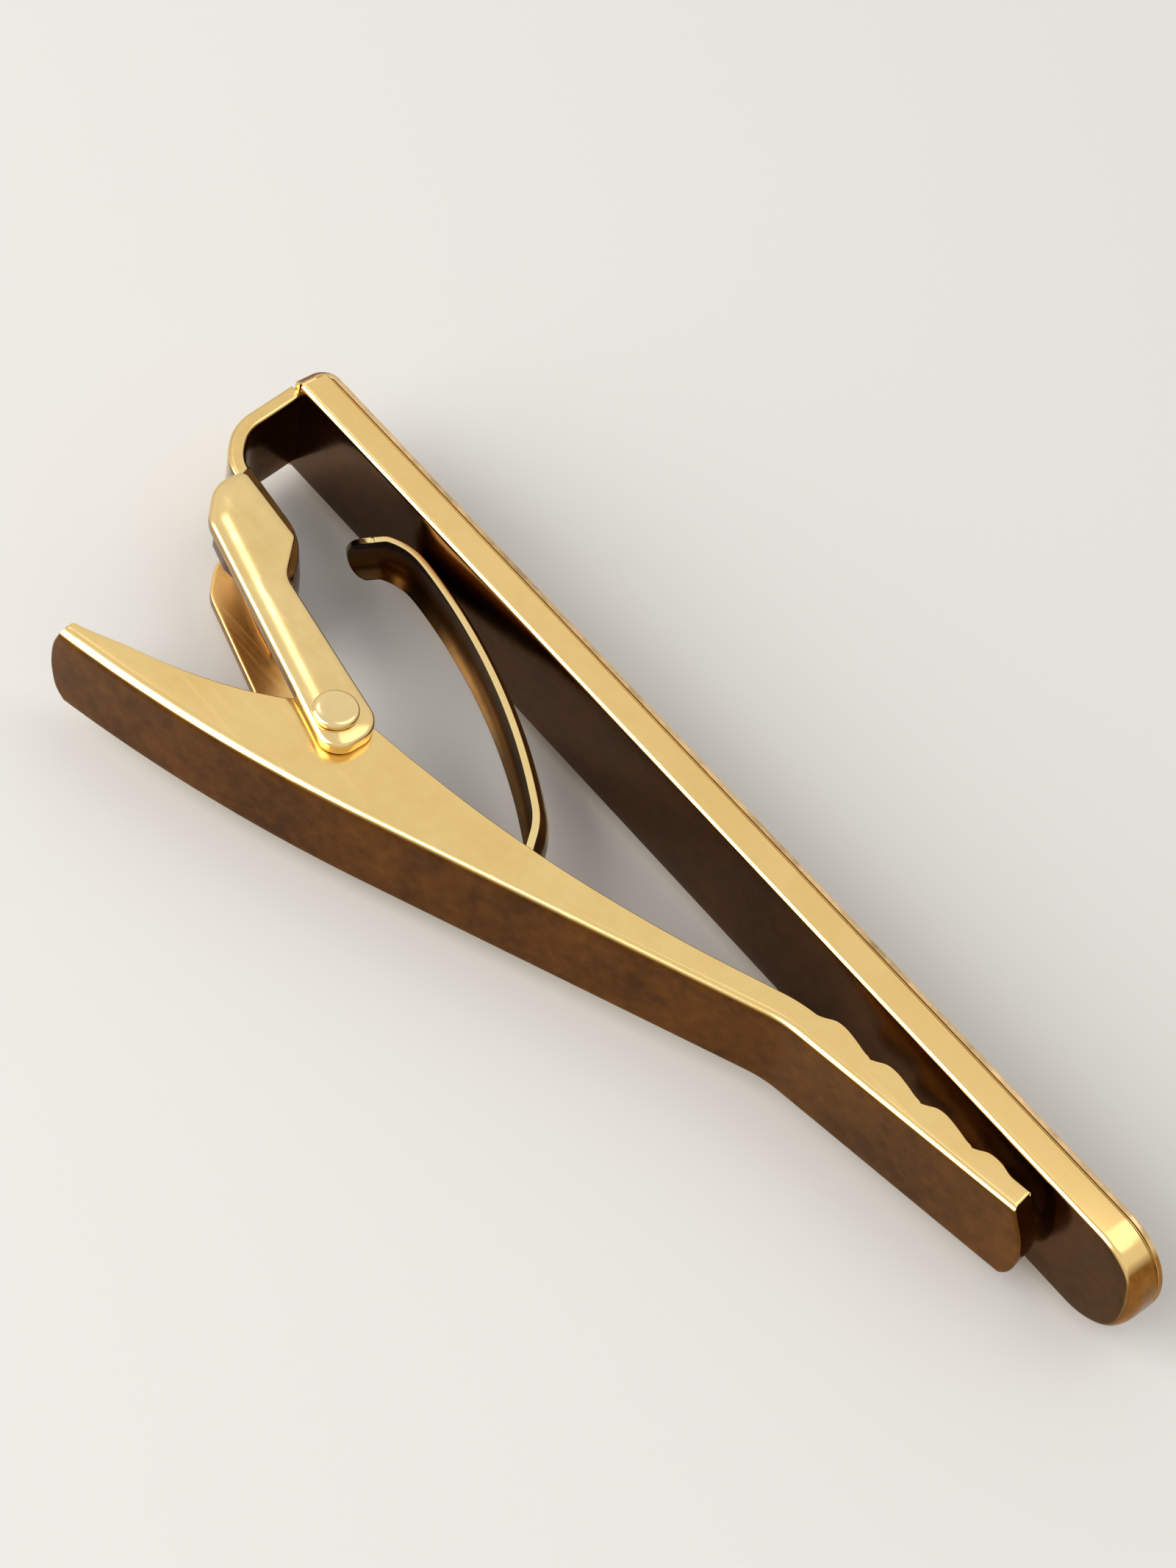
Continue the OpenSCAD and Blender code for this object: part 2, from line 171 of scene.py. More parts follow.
def tongue(name, stations, tip, half_at):
    """A flat bar along stations, ended by turning its half section about the tip.

    A station is a point, the direction that depth goes there, and a thickness. half_at gives
    the half section, from the middle of the face to that of the back, for a thickness and
    for the angle turned about the tip, from the near side at 0 to the far side at 180.
    """
    verts, faces = [], []
    for (x, y), (dx, dy), thick in stations:
        half = half_at(thick, 0)
        verts += [at(x + dx * d, y + dy * d, MIDDLE + u) for u, d in both_sides(half)]
    m = len(half)
    n, split = 2 * m - 1, m - 1
    for k in range(len(stations) - 1):
        a, b = k * n, (k + 1) * n
        faces += [(a + i, a + (i + 1) % n, b + (i + 1) % n, b + i) for i in range(n)]
    faces += [(split - i, split - i - 1, split + i + 1, split + i) for i in range(1, split)]
    faces.append((split, split - 1, split + 1))
    # The last station's half section is turned through half a circle to make the tip
    base = len(verts)
    for k in range(TIP_STEPS + 1):
        angle = math.pi * k / TIP_STEPS
        verts += [at(tip + u * math.sin(angle), y + dy * d, MIDDLE + u * math.cos(angle))
                  for u, d in half_at(thick, 180 * k / TIP_STEPS)]
    for k in range(TIP_STEPS):
        a, b = base + k * m, base + (k + 1) * m
        faces += [(a + i, a + i + 1, b + i + 1, b + i) for i in range(m - 1)]
    return piece(name, verts, faces)


class Wire:
    """A shader socket that adds, subtracts, multiplies and divides as a number does."""

    def __init__(self, tree, socket):
        self.tree, self.socket = tree, socket

    def node(self, kind, inputs=(), out=0, stops=None, **settings):
        """A new node of that kind: its settings first, then the values or links of its sockets."""
        made = self.tree.nodes.new(kind)
        for key, value in settings.items():
            setattr(made, key, value)
        for place, (where, tint) in enumerate(stops or ()):
            ramp = made.color_ramp.elements
            stop = ramp[place] if place < len(ramp) else ramp.new(where)
            stop.position, stop.color = where, tint
        for key, value in dict(inputs).items():
            if isinstance(value, Wire):
                self.tree.links.new(made.inputs[key], value.socket)
            else:
                made.inputs[key].default_value = value
        return Wire(self.tree, made.outputs[out])

    def maths(self, operation, *values, clamp=False):
        return self.node("ShaderNodeMath", enumerate(values), operation=operation, use_clamp=clamp)

    def __add__(self, other):
        return self.maths("ADD", self, other)

    def __sub__(self, other):
        return self.maths("SUBTRACT", self, other)

    def __rsub__(self, other):
        return self.maths("SUBTRACT", other, self)

    def __mul__(self, other):
        return self.maths("MULTIPLY", self, other)

    def __truediv__(self, other):
        return self.maths("DIVIDE", self, other)

    def __rtruediv__(self, other):
        return self.maths("DIVIDE", other, self)

    __radd__, __rmul__ = __add__, __mul__

    def clipped(self):
        return self.maths("ADD", self, 0.0, clamp=True)

    def blend(self, a, b):
        """The colour a where this is 0 and b where it is 1."""
        return self.node("ShaderNodeMix", {0: self, 6: a, 7: b}, out=2, data_type="RGBA")


# The plate's grain: how fine its clouds, specks and hair scratches are, then how each is mixed.
# The third and fourth lines mottle and blend in the painted shade on some sides.
CLOUD_SCALE, FINE_SCALE, HAIR_SCALE, HAIR_STRETCH = 260.0, 1500.0, 700.0, (0.1, 3.0, 3.0)
TONE_CLOUD, TONE_FINE, TONE_FROM, TONE_GAIN = 0.75, 0.25, 0.38, 3.0
SHADE_CLOUD, SHADE_FINE, SHADE_FROM, SHADE_GAIN = 0.6, 0.4, 0.36, 3.4
SHADE_DARKEST, SHADE_LIGHTEST, SHADE_RUN, SHADE_COVER = 0.72, 1.7, 0.16, 0.97
HAIR_FROM, HAIR_GAIN, TONE_ROUGH, HAIR_ROUGH = 0.56, 9.0, 0.07, 0.1
FINE_HEIGHT, HAIR_HEIGHT, GRAIN_HEIGHT = 0.06, 0.04, 0.00002


def gold(name, pale, deep, sides, rough=0.15, cloud=1.0, wear=0.4):
    """Gold plate, clouded by handling and lightly scratched, with painted shade, a mottled brown,
    on some sides.

    A side is the way that it faces, how squarely a spot must face that way before the painted
    shade covers it, and the brown of that painted shade.
    """
    made = bpy.data.materials.new(name)
    made.use_nodes = True
    tree = made.node_tree
    shader = next(n for n in tree.nodes if n.type == "BSDF_PRINCIPLED")
    shader.inputs["Metallic"].default_value = 1.0
    place = tree.nodes.new("ShaderNodeTexCoord")
    spot = Wire(tree, place.outputs["Object"])
    facing = Wire(tree, place.outputs["Normal"])

    def noise(scale, detail, stretch=(1, 1, 1)):
        where = spot.node("ShaderNodeMapping", {0: spot, 3: stretch})
        return spot.node("ShaderNodeTexNoise", {"Vector": where, "Scale": scale, "Detail": detail,
                                                "Roughness": 0.6})

    clouds = noise(CLOUD_SCALE, 4.0)
    fine = noise(FINE_SCALE, 3.0)
    scratch = noise(HAIR_SCALE, 3.0, HAIR_STRETCH)
    tone = ((clouds * TONE_CLOUD + fine * TONE_FINE - TONE_FROM) * (TONE_GAIN * cloud)).clipped()
    # Noise that mottles the painted shade.
    shade_mottle = ((clouds * SHADE_CLOUD + fine * SHADE_FINE - SHADE_FROM) * SHADE_GAIN).clipped()
    colour = tone.blend((*pale, 1), (*deep, 1))
    # Painted shade: each side turns a mottled dark brown where a spot faces its way squarely enough.
    for way, onset, painted_brown in sides:
        turned = facing.node("ShaderNodeVectorMath", {0: facing, 1: way}, out=1, operation="DOT_PRODUCT")
        shaded_colour = shade_mottle.blend((*(c * SHADE_DARKEST for c in painted_brown), 1), (*(c * SHADE_LIGHTEST for c in painted_brown), 1))
        colour = (((turned - onset) / SHADE_RUN).clipped() * SHADE_COVER).blend(colour, shaded_colour)
    hairs = ((scratch - HAIR_FROM) * HAIR_GAIN).clipped()
    tree.links.new(shader.inputs["Base Color"], colour.socket)
    softness = (tone * TONE_ROUGH + hairs * (HAIR_ROUGH * wear) + rough).clipped()
    tree.links.new(shader.inputs["Roughness"], softness.socket)
    height = clouds + fine * FINE_HEIGHT + hairs * (HAIR_HEIGHT * wear)
    bump = height.node("ShaderNodeBump", {"Height": height, "Strength": 0.2, "Distance": GRAIN_HEIGHT})
    tree.links.new(shader.inputs["Normal"], bump.socket)
    return made


def bar_half(thick, turned):
    """The bar's half section. Its back edge is a fine round that melts into the tip's end."""
    melt = held((turned - TIP_MELTS_IN[0]) / TIP_MELTS_IN[1])
    melt *= held((TIP_MELTS_OUT[0] - turned) / TIP_MELTS_OUT[1])
    edge = BAR_EDGE + (TIP_EDGE - BAR_EDGE) * eased(melt)
    half = [(u, 0.0) for u in even(0.0, MIDDLE - edge, 5)]
    half += [(MIDDLE - edge + a, b) for a, b in quarter(edge, 8)[1:]]
    return half + [(MIDDLE, thick - SEAM_DEPTH), (MIDDLE - SEAM_EDGE, thick - SEAM_DEPTH * 0.2),
                   (MIDDLE - SEAM_EDGE, thick), (0.0, thick)]


# Painted shade: dark brown on the bar's back, orange-brown on its tip's end, and dark on the faces of the
# seam's groove.
BAR_BACK_SHADE, SEAM_BROWN = (0.060, 0.019, 0.002), (0.060, 0.035, 0.010)
TOWARDS_TIP = (0.96, 0, -0.28)
bar_tip = BAR_LEN - MIDDLE
bar = tongue("front_bar_piece", [((x, 0.0), (0.0, 1.0), BAR_THICK) for x in even(0.0, bar_tip, 24)],
             bar_tip, bar_half)
bar.data.materials.append(gold("bar_gold", (0.88, 0.62, 0.25), (0.80, 0.54, 0.20),
                               ((TOWARDS_TIP, 0.3, (0.25, 0.095, 0.012)),
                                ((0, 0.83, 0.55), 0.85, SEAM_BROWN), ((0, -1, 0), 0.8, BAR_BACK_SHADE))))
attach(bar, "frame")
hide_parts("front_bar")

# The front plate: thin polished sheet soldered over the bar's front, folded down over its
# hinge end as a soft lip. Its edges stop just inside the bar's, which leaves a fine seam.
PLATE_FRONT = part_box("front_plate")[1].y
PLATE_THICK = (PLATE_FRONT - BAR_HIGH.y) / MM
LIP_THICK = (BAR_LOW.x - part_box("front_plate")[0].x) / MM
LIP_RADIUS, PLATE_INSET, LIP_STEPS, LIP_LOW = 1.05, 0.02, 10, 0.2
# The round at the lip's lower end, as (how far in, how far down)
LIP_ROUND = ((0.24, 0.2), (0.16, 0.17), (0.08, 0.11), (0.02, 0.05))
front = BAR_THICK + PLATE_THICK
half_plate = MIDDLE - PLATE_INSET


def plate_half(thick, turned):
    """The plate's half section, its edge broken along the bar and rolled over round the lip."""
    edge = max(thick * 0.4, thick * 1.32 - PLATE_THICK * 0.92)
    half = [(u, 0.0) for u in even(0.0, half_plate - edge, 5)]
    half += [(half_plate - edge + a, b) for a, b in quarter(edge, 7)[1:]]
    return half + [(half_plate, thick * 0.86), (half_plate - SEAM_EDGE * 0.7, thick), (0.0, thick)]


def plate_stations():
    """Where the plate's front face runs, from the lip's lower end round to the tip."""
    corner = (LIP_RADIUS - LIP_THICK, front - LIP_RADIUS)
    made = [((-LIP_THICK + a, LIP_LOW - b), (1, 0), LIP_THICK - 1.6 * a) for a, b in LIP_ROUND]
    made += [((-LIP_THICK, y), (1, 0), LIP_THICK) for y in even(0.22, corner[1], 4)]
    for k in range(1, LIP_STEPS + 1):
        angle = math.radians(90 * k / LIP_STEPS)
        out = (-math.cos(angle), math.sin(angle))
        made.append(((corner[0] + LIP_RADIUS * out[0], corner[1] + LIP_RADIUS * out[1]), (-out[0], -out[1]),
                     LIP_THICK + (PLATE_THICK - LIP_THICK) * k / LIP_STEPS))
    return made + [((x, front), (0, -1), PLATE_THICK) for x in even(1.2, bar_tip, 22)]


plate = tongue("front_plate_piece", plate_stations(), bar_tip, plate_half)
# Painted shade: browner on the plate's near edge, in its seam, on its lip and on its tip's end.
plate.data.materials.append(gold("face_gold", (0.86, 0.62, 0.27), (0.74, 0.50, 0.19),
                                 (((0, 0, 1), 0.8, (0.56, 0.38, 0.20)), ((0, -0.8, 0.6), 0.85, SEAM_BROWN),
                                  ((-0.75, 0, 0.66), 0.7, (0.22, 0.088, 0.015)),
                                  (TOWARDS_TIP, 0.3, (0.32, 0.14, 0.02))), rough=0.16, cloud=0.7))
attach(plate, "frame")
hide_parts("front_plate")

# The end bracket: a strip brazed under the bar's hinge end, bent round into a short web
# with a curled nose, and a side wall hanging from each edge of the web for the link plates.
PIVOT_LOW, PIVOT_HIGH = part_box("jaw_rivet")
pivot = ((PIVOT_LOW + PIVOT_HIGH) / 2 - BAR_LOW) / MM
STRIP_THICK, STRIP_LEAN, WEB_SLOPE = 0.85, 82.0, 6.5
BEND_RADIUS, WEB_LEN, NOSE_RADIUS, NOSE_TURN, NOSE_LEN = 2.2, 3.7, 4.0, 44.0, 0.6
STRIP_SEAT, STRIP_SUNK, DROP_SHARE = 0.16, 0.08, 0.258
EDGE_ROLL, ROLL_BEFORE, ROLL_RUN = 0.3, 1.6, 2.0
strip_drop = -pivot.y * DROP_SHARE + STRIP_SUNK
bracket_low, bracket_high = ((corner - BAR_LOW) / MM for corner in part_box("end_bracket"))
half_strip = (bracket_high.z - bracket_low.z) / 2
bend_turn = STRIP_LEAN - WEB_SLOPE
strip_turns = [(strip_drop, 0), arc(BEND_RADIUS, bend_turn), (WEB_LEN, 0),
               arc(NOSE_RADIUS, -NOSE_TURN), (NOSE_LEN, 0)]
strip_start = (STRIP_SEAT - STRIP_SUNK * math.cos(math.radians(STRIP_LEAN)), STRIP_SUNK,
               math.radians(-STRIP_LEAN))
strip_len = sum(length for length, turn in strip_turns)
web_from = strip_turns[0][0] + strip_turns[1][0]
bend_end = walk(strip_start, strip_turns[:2], web_from)


def flat_half(half_width, thick, edge, count=4):
    """Half of a strip's section: its outer points and its inner ones, from the middle to the edge."""
    outer = [(u, 0.0) for u in even(0.0, half_width - edge, count)]
    outer += [(half_width - edge + a, b) for a, b in quarter(edge, 5)[1:]] + [(half_width, thick / 2)]
    return outer, [(u, thick - d) for u, d in outer]


def swept(name, start, turns, stations, section, ends=0.15, camber=lambda place: 0.0, tongue_end=0.0):
    """A strip along stations, with its first and last edges rounded over.

    Its first end is cut to a rounded tongue of the given depth.
    """
    outer, inner = section
    thick, half_width = inner[0][1], outer[-1][0]
    sections = []
    total = stations[-1]
    for run in stations:
        lost = 0.0
        for gap in (run, total - run):
            if gap < ends:
                lost = max(lost, ends - math.sqrt(max(0.0, ends ** 2 - (ends - gap) ** 2)))
        rows = []
        for half in (outer, inner):
            row = []
            for u, d in both_sides(half):
                cut = tongue_end * (1 - math.sqrt(max(0.0, 1 - (u / half_width) ** 2 * 0.998)))
                place = cut + (total - cut) * run / total
                depth = min(max(d, lost), thick - lost)
                width = math.copysign(min(abs(u), half_width - lost), u)
                px, py = off(walk(start, turns, place), -depth - camber(place) * (u / half_width) ** 2)
                row.append(at(px, py, MIDDLE + width))
            rows.append(row)
        sections.append(rows)
    return piece(name, *loft(sections))


def stations_of(turns, spacing, ends=0.15):
    """Lengths along a path, closer together where its ends are rounded over."""
    total = sum(length for length, turn in turns)
    return sorted({0.0, total} | {ends - a for a, b in quarter(ends, 4)[1:]} |
                  {total - ends + a for a, b in quarter(ends, 4)[1:]} |
                  set(even(ends, total - ends, max(3, int(total / spacing)))))


def sunk_edge(run):
    """How far the web's side edges are rolled down away from the bar."""
    return EDGE_ROLL * eased(held((run - web_from + ROLL_BEFORE) / ROLL_RUN))


bracket = swept("end_bracket_piece", strip_start, strip_turns, stations_of(strip_turns, 0.25),
                flat_half(half_strip, STRIP_THICK, 0.24), 0.1, sunk_edge)
# Painted shade: dark brown on the strip's faces turned to +x+y and to -y.
bracket.data.materials.append(gold("bracket_gold", (0.86, 0.62, 0.26), (0.74, 0.49, 0.18),
                                   (((0.6, 0.8, 0), 0.4, (0.10, 0.042, 0.010)),
                                    ((0, -1, 0), 0.8, (0.06, 0.025, 0.006))), rough=0.16))
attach(bracket, "frame")
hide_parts("end_bracket")

# The link plates: two flat arms cut from sheet and polished until their edges are pillow
# soft, brazed to the bracket's walls at one end and carrying the rivet at the other.
LINK_INSET, LINK_SEAT, EYE_RADIUS, EYE_DROP = 0.53, 0.9, 1.8, 1.53
link_box = (bend_end[0] + LINK_INSET, bend_end[1] - LINK_SEAT, pivot.x + EYE_RADIUS, pivot.y - EYE_DROP)
LINK_CORNERS = [(0, 0, 0.07), (0.288, 0.06, 0.08), (0.397, 0.325, 0.25), (0.99, 0.556, 0.2),
                (1, 1.02, 0.16), (0.097, 0.485, 0.3), (-0.012, 0.25, 0.3)]
NEAR_WALL = [(0.397, 0.51), (0.225, 0.548), (0.132, 0.488), (0.065, 0.36), (0.014, 0.21)]
FAR_WALL = [(0.397, 0.43), (0.298, 0.385), (0.169, 0.3), (0.074, 0.235), (0.01, 0.13)]
FAR_INSET, FAR_LIFT = 0.26, 0.4
CROWN_DROP, CROWN_REACH, CROWN_POWER, LINK_RIM, PLAIN_RIM = 0.22, 1.3, 2.2, 0.16, 0.09
OUTLINE_STEP, ON_RIM, WALL_PROUD, WEB_LAP = 0.24, 1e-3, 0.012, 0.22
INSETS = (0.006, 0.024, 0.055, 0.1, 0.16, 0.25, 0.38, 0.54, 0.72, 0.92, 1.15, 1.4)


def link_point(along, down):
    """The point at those shares of the plates' box, from its hinge end and its top."""
    left, top, right, low = link_box
    return Vector((left + along * (right - left), top + down * (low - top)))


def far_point(point):
    """Where a near plate's point is on the far plate, whose hinge end sits further in and up."""
    share = (link_box[2] - point.x) / (link_box[2] - link_box[0])
    return point + Vector((FAR_INSET, FAR_LIFT)) * share


def rounded(corners, radii, steps=10):
    """An outline with each corner replaced by an arc."""
    made = []
    for i, b in enumerate(corners):
        u, v = (corners[i - 1] - b).normalized(), (corners[(i + 1) % len(corners)] - b).normalized()
        half = u.angle(v) / 2
        p, q = b + u * radii[i] / math.tan(half), b + v * radii[i] / math.tan(half)
        middle = b + (u + v).normalized() * radii[i] / math.sin(half)
        for k in range(steps + 1):
            share = k / steps
            spot = (p - middle) * math.sin((1 - share) * (math.pi - 2 * half)) + \
                (q - middle) * math.sin(share * (math.pi - 2 * half))
            made.append(middle + spot / math.sin(math.pi - 2 * half))
    return made


def pillow(name, outline, low, high, over, under):
    """A plate of that outline.

    over and under say how far each face drops at a distance from the plate's edge.
    """
    points = []
    for i, b in enumerate(outline):
        a = outline[i - 1]
        count = max(1, int((b - a).length / OUTLINE_STEP))
        points += [a + (b - a) * k / count for k in range(1, count + 1)]
    points.reverse()
    n = len(points)

    def depth(point):
        """How far a point is from the outline."""
        found = []
        for a, b in zip(points, points[1:] + points[:1]):
            share = held((point - a).dot(b - a) / (b - a).length_squared)
            found.append((point - a - (b - a) * share).length)
        return min(found)

    inner = []
    for inset in INSETS:
        for i in range(n):
            along = (points[(i + 1) % n] - points[i - 1]).normalized()
            spot = points[i] + Vector((-along.y, along.x)) * inset
            if depth(spot) > inset * 0.96:
                inner.append(spot)
    flat, _, faces = delaunay_2d_cdt(points + inner, [], [list(range(n))], 1, 1e-4)[:3]
    depths = [depth(p) for p in flat]
    m = len(flat)
    verts = [at(p.x, p.y, high - over(d)) for p, d in zip(flat, depths)]
    verts += [at(p.x, p.y, low + under(d)) for p, d in zip(flat, depths)]
    rim = [(a, b) for face in faces for a, b in zip(face, face[1:] + face[:1])
           if depths[a] < ON_RIM and depths[b] < ON_RIM]
    known = set(rim)
    made = [tuple(f) for f in faces] + [tuple(m + i for i in reversed(f)) for f in faces]
    made += [(b, a, a + m, b + m) for a, b in rim if (b, a) not in known]
    return piece(name, verts, made, 60)


def rim_drop(d, r):
    """How far a round edge of radius r has dropped at a distance d from its rim."""
    return r - math.sqrt(max(0.0, r * r - max(0.0, r - d) ** 2))


def crowned(d):
    """A face that falls away softly from its middle, and over a fine rim at its edge."""
    return CROWN_DROP * max(0.0, 1 - d / CROWN_REACH) ** CROWN_POWER + rim_drop(d, LINK_RIM)


def plain(d):
    """A flat face with a fine round rim."""
    return rim_drop(d, PLAIN_RIM)


link_height = link_box[1] - link_box[3]
link_outline = rounded([link_point(a, b) for a, b, c in LINK_CORNERS],
                       [c * link_height for a, b, c in LINK_CORNERS])
# The far plate's gold is written more orange than the near plate's, as a painted reflection of the gold
# around it.
for name, outline, over, under, pale, deep, rough in (
        ("near_link_plate", link_outline, crowned, plain, (0.88, 0.66, 0.30), (0.74, 0.52, 0.20), 0.14),
        ("far_link_plate", [far_point(p) for p in link_outline], plain, crowned, (0.90, 0.58, 0.22),
         (0.74, 0.43, 0.13), 0.26)):
    low, high = (corner.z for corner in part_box(name))
    link = pillow(name + "_piece", outline, (low - BAR_LOW.z) / MM, (high - BAR_LOW.z) / MM, over, under)
    # Painted shade: dark brown on the faces turned towards -y.
    link.data.materials.append(gold(name + "_gold", pale, deep,
                                    [((-0.4, -0.92, 0), 0.85, (0.22, 0.11, 0.03))],
                                    rough, cloud=0.8, wear=0.8))
    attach(link, "frame")
    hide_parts(name)

web_path = [walk(strip_start, strip_turns, run) for run in even(web_from, strip_len, 16)]
# Painted shade: the walls' gold is written darker and more orange than the strip's, and turns dark brown
# where they face +z, -y or +x+y.
wall_gold = gold("bracket_wall_gold", (0.80, 0.52, 0.20), (0.66, 0.40, 0.13),
                 [(way, onset, (0.075, 0.030, 0.006)) for way, onset in
                  (((0, 0, 1), 0.7), ((0.3, -0.95, 0), 0.6), ((0.6, 0.8, 0), 0.3))], rough=0.2)
near_wall = [link_point(a, b) for a, b in NEAR_WALL]
far_wall = [far_point(link_point(a, b)) for a, b in FAR_WALL]
for side, low, corners in (("near", bracket_high.z - STRIP_THICK + WALL_PROUD, near_wall),
                           ("far", bracket_low.z - WALL_PROUD, far_wall)):
    outline = [Vector(off(station, -WEB_LAP)) for station in web_path] + corners
    wall = pillow("bracket_wall_" + side, outline, low, low + STRIP_THICK, plain, plain)
    wall.data.materials.append(wall_gold)
    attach(wall, "frame")

# The rivet: a turned pin through both plates and the jaw, with a flat polished head on
# each side whose rim is rolled over.
HEAD_RADIUS = (PIVOT_HIGH.x - PIVOT_LOW.x) / 2 / MM
HEAD_HEIGHT, HEAD_EDGE, PIN_RADIUS, HEAD_DROP, HEAD_CHAMFER, HEAD_LAP = 0.35, 0.2, 0.6, 0.02, 0.04, 0.01
ROUND = 64
rivet_profile = [(0.0, 0.0), (HEAD_RADIUS * 0.5, 0.004), (HEAD_RADIUS - HEAD_EDGE - 0.03, 0.012)]
rivet_profile += [(HEAD_RADIUS - HEAD_EDGE + a, HEAD_DROP + b) for a, b in quarter(HEAD_EDGE, 6)]
rivet_profile += [(HEAD_RADIUS, HEAD_HEIGHT - HEAD_CHAMFER),
                  (HEAD_RADIUS - HEAD_CHAMFER, HEAD_HEIGHT + HEAD_LAP),
                  (PIN_RADIUS, HEAD_HEIGHT + HEAD_LAP)]
rivet_span = (PIVOT_HIGH.z - PIVOT_LOW.z) / MM
rivet_rings = rivet_profile + [(r, rivet_span - h) for r, h in reversed(rivet_profile)]
verts, faces = [], []
for r, h in rivet_rings:
    verts += [at(pivot.x + r * math.cos(math.tau * k / ROUND), pivot.y + r * math.sin(math.tau * k / ROUND),
                 (PIVOT_LOW.z - BAR_LOW.z) / MM + h) for k in range(ROUND)]
for j in range(len(rivet_rings) - 1):
    faces += [(j * ROUND + k, j * ROUND + (k + 1) % ROUND, (j + 1) * ROUND + (k + 1) % ROUND,
               (j + 1) * ROUND + k) for k in range(ROUND)]
rivet = piece("jaw_rivet_piece", verts, faces)
# Painted shade: browner on the heads' undersides and on the side turned to +y.
rivet.data.materials.append(gold("rivet_gold", (0.88, 0.68, 0.34), (0.74, 0.53, 0.22),
                                 (((0, 0, -1), 0.8, (0.30, 0.15, 0.04)),
                                  ((0.3, 0.95, 0), 0.7, (0.50, 0.28, 0.10))), rough=0.13, cloud=0.5))
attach(rivet, "frame")
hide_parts("jaw_rivet")

# The jaw lever: one sheet folded into a channel and curved, its side walls cut low at the
# thumb end, high round the pivot and into rounded teeth at the tip, where its floor is
# turned up to close the end. Its outer face has fine scratches all over, and painted shade
# turns it and its tip's end dark brown.
JAW_LOW, JAW_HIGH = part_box("jaw_lever")
SHEET, THUMB_FOLD, TIP_FOLD, FAR_FOLD, RIM, INNER_FOLD = 0.85, 0.55, 0.3, 0.16, 0.12, 0.3
BELLY, WALL_TALL, CURVE, TILT = 3.69, 4.9, 80.8, 22.0
THUMB_LEN, HEEL_LEN, SHANK_LEN, CROOK_RADIUS, CROOK_TURN, BITE_LEN = 13.3, 4.23, 19.1, 6.0, 15.8, 13.0
TOOTH_N, TOOTH_PITCH, TOOTH_TALL, FIRST_CREST, LAST_CREST = 5, 2.9, 0.42, 1.84, 1.42
END_WALL, END_WALL_THICK, END_EDGE, THUMB_EDGE, TIP_SKEW, THUMB_BULGE = 1.25, 0.8, 0.14, 0.35, 1.1, 0.5
half_jaw = (JAW_HIGH.z - JAW_LOW.z) / 2 / MM
neck_len = HEEL_LEN + SHANK_LEN
thumb_tilt = TILT - math.degrees(THUMB_LEN / CURVE)
foot = off((pivot.x, pivot.y, math.radians(TILT)), -BELLY)
back = walk((*foot, math.radians(TILT + 180)), [(THUMB_LEN, -math.degrees(THUMB_LEN / CURVE))], THUMB_LEN)
jaw_start = (back[0], back[1], math.radians(thumb_tilt))
crook_len = math.radians(CROOK_TURN) * CROOK_RADIUS
jaw_turns = [(THUMB_LEN + HEEL_LEN, math.degrees((THUMB_LEN + HEEL_LEN) / CURVE)), (SHANK_LEN, 0),
             (crook_len, -CROOK_TURN), (BITE_LEN, 0)]
jaw_len = sum(length for length, turn in jaw_turns)
teeth_from = THUMB_LEN + neck_len + crook_len
TIP_RISE, LIFT_RUN, SECTIONS = 0.9, 0.2, 300
END_WALL_STEPS = (-0.06, 0.0, 0.06, 0.12, 0.18, 0.26)
# The walls' height up to the pivot and past it, each as shares of the length and of WALL_TALL
WALL_SHARES = [(0, 0.17), (0.07, 0.19), (0.24, 0.31), (0.43, 0.415), (0.62, 0.56), (0.77, 0.72),
               (0.9, 0.9), (1, 1)]
NECK_SHARES = [(0.085, 0.92), (0.18, 0.8), (0.35, 0.6), (0.55, 0.43), (0.78, 0.32), (1, 0.285)]
wall_points = [(a * THUMB_LEN, b * WALL_TALL) for a, b in WALL_SHARES]
wall_points += [(THUMB_LEN + a * neck_len, b * WALL_TALL) for a, b in NECK_SHARES]
TOOTH_SHARES = [(0, 0), (0.12, 0.4), (0.24, 0.88), (0.36, 1), (0.5, 0.9), (0.72, 0.5), (0.9, 0.1), (1, 0)]
# How far each end is cut back across the width, from the far edge at -1 to the near one at 1
TIP_SHARES = [(-1, 0.9), (-0.97, 0.5), (-0.85, 0.22), (-0.68, 0.08), (-0.33, 0), (-0.04, 0.07),
              (0.32, 0.29), (0.52, 0.5), (0.73, 0.73), (1, 1)]
THUMB_SHARES = [(-1, 2.4), (-0.97, 1.8), (-0.74, 0.76), (-0.42, 0.26), (-0.05, 0), (0.5, 0.16), (1, 1)]


def smooth(table, x):
    """A smooth curve through the table's points, held level past its ends."""
    x = min(max(x, table[0][0]), table[-1][0])
    i = max(k for k in range(len(table) - 1) if k == 0 or table[k][0] < x)

    def slope(k):
        a, b = table[max(k - 1, 0)], table[min(k + 1, len(table) - 1)]
        return (b[1] - a[1]) / (b[0] - a[0])

    (x0, y0), (x1, y1) = table[i], table[i + 1]
    w = x1 - x0
    u = (x - x0) / w
    return y0 * (1 + 2 * u) * (1 - u) ** 2 + y1 * u * u * (3 - 2 * u) + \
        w * slope(i) * u * (1 - u) ** 2 - w * slope(i + 1) * u * u * (1 - u)


def wall_height(run):
    """Height of a side wall from the outer face, at that length from the thumb end."""
    if run <= THUMB_LEN + neck_len:
        return max(SHEET, smooth(wall_points, run))
    if run <= teeth_from:
        share = (run - THUMB_LEN - neck_len) / crook_len
        neck_tall = WALL_TALL * NECK_SHARES[-1][1]
        return neck_tall + (FIRST_CREST - TOOTH_TALL - neck_tall) * share
    tooth = min(int((run - teeth_from) / TOOTH_PITCH), TOOTH_N - 1)
    crest = FIRST_CREST + (LAST_CREST - FIRST_CREST) * tooth / (TOOTH_N - 1)
    return crest + (smooth(TOOTH_SHARES, (run - teeth_from) / TOOTH_PITCH - tooth) - 1) * TOOTH_TALL


